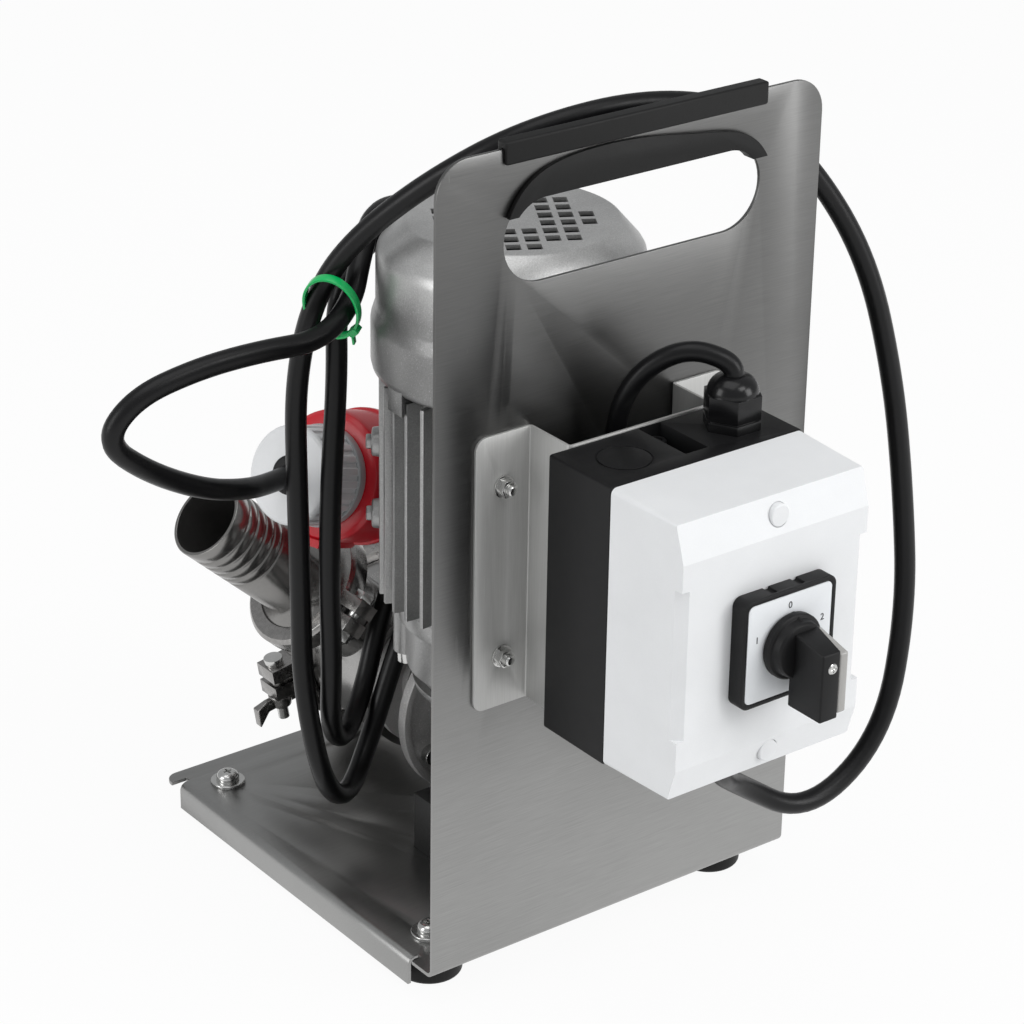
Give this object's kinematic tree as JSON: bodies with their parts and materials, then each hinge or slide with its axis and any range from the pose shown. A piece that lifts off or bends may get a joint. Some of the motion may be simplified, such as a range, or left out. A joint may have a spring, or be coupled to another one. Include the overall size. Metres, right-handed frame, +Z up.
{
  "type": "honey pump",
  "caption": "Electric flexible-impeller pump for honey on a bent steel stand with carrying slot: vertical geared motor, switch box with rotary knob, angled hose barbs, coiled cable and plug.",
  "frame": {"origin": "on the ground, in the upright plane of the pump shaft, half way between the knob's front face and the back of the pump's wing nut", "axes": "+X to the right seen from the switch side, +Y from the switch box towards the pump, +Z up"},
  "size_m": [0.379, 0.3992, 0.4344],
  "materials": {
    "stainless_sheet": "brushed",
    "black_rubber": "matt",
    "zinc_steel": "bright",
    "black_plastic": "fine grain",
    "white_plastic": "satin",
    "dial_print": "satin",
    "grey_plastic": "satin",
    "clear_grey_plastic": "satin",
    "silver_paint": "cast, painted",
    "cast_aluminium": "as cast",
    "black_paint": "matt",
    "polished_stainless": "polished",
    "cast_stainless": "cast, tumbled",
    "steel": "machined",
    "bronze": "machined",
    "copper_winding": "varnished",
    "white_rubber": "matt",
    "red_plastic": "gloss",
    "green_plastic": "gloss",
    "black_cable": "satin"
  },
  "bodies": {
    "stand": {"frame_plate": "stainless_sheet", "hat_bracket": "stainless_sheet", "top_trim": "black_rubber", "slot_trim": "black_rubber", "feet": "black_rubber", "lead_grommet": "black_rubber", "foot_screws": "zinc_steel", "foot_washers": "zinc_steel", "bracket_bolts": "zinc_steel", "bracket_washers": "zinc_steel", "bracket_nuts": "zinc_steel", "riser_screws": "zinc_steel", "shield_bolts": "zinc_steel", "flange_screws": "zinc_steel", "port_clamp_bolts": "zinc_steel", "port_clamp_nuts": "zinc_steel", "cover_clamp_bolt": "zinc_steel", "switch_base": "black_plastic", "dial_frame": "black_plastic", "glands": "black_plastic", "switch_cover": "white_plastic", "screw_caps": "white_plastic", "dial_plate": "dial_print", "motor_housing": "silver_paint", "fan_cover": "silver_paint", "drive_end_shield": "silver_paint", "terminal_box": "silver_paint", "terminal_lid": "silver_paint", "stator": "copper_winding", "shaft_bearings": "steel", "gearbox_housing": "cast_aluminium", "gearbox_cover": "cast_aluminium", "gearbox_riser": "black_paint", "output_flange": "cast_aluminium", "lantern": "cast_stainless", "pump_body": "polished_stainless", "pump_cover": "polished_stainless", "left_hose_barb": "polished_stainless", "right_hose_barb": "polished_stainless", "cover_clamp": "cast_stainless", "left_port_clamp": "cast_stainless", "right_port_clamp": "cast_stainless", "shaft_seal": "black_rubber", "port_gaskets": "white_rubber", "motor_lead": "black_cable", "mains_cable": "black_cable", "cable_tie": "green_plastic", "plug_body": "white_plastic", "plug_ring": "grey_plastic", "plug_shroud": "red_plastic", "plug_pins": "steel"},
    "knob": {"knob": "black_plastic", "knob_screw": "zinc_steel"},
    "lock": {"lock_slide": "clear_grey_plastic"},
    "rotor": {"rotor_shaft": "steel", "cooling_fan": "black_plastic"},
    "pump_drive": {"pump_shaft": "steel", "worm_wheel": "bronze", "impeller": "black_rubber"},
    "wing": {"wing_nut": "cast_stainless"}
  },
  "joints": [
    {"name": "knob_turn", "type": "hinge", "parent": "stand", "child": "knob", "pos_m": [-0.025, -0.19862, 0.225], "axis": [0, 1, 0], "range_deg": [-60, 60]},
    {"name": "lock_shift", "type": "slide", "parent": "knob", "child": "lock", "axis": [0, 0, -1], "range_m": [0, 0.008]},
    {"name": "motor_spin", "type": "hinge", "parent": "stand", "child": "rotor", "pos_m": [-0.024, 0.03438, 0.218], "axis": [0, 0, 1], "continuous": true},
    {"name": "pump_spin", "type": "hinge", "parent": "stand", "child": "pump_drive", "pos_m": [0, 0.03438, 0.075], "axis": [0, 1, 0], "continuous": true},
    {"name": "wing_nut_turn", "type": "hinge", "parent": "stand", "child": "wing", "pos_m": [-0.06106, 0.18463, 0.06423], "axis": [0.1736, 0, -0.9848], "continuous": true}
  ],
  "couplings": [
    {"joint": "pump_spin", "follows": "motor_spin", "ratio": 0.033333}
  ]
}
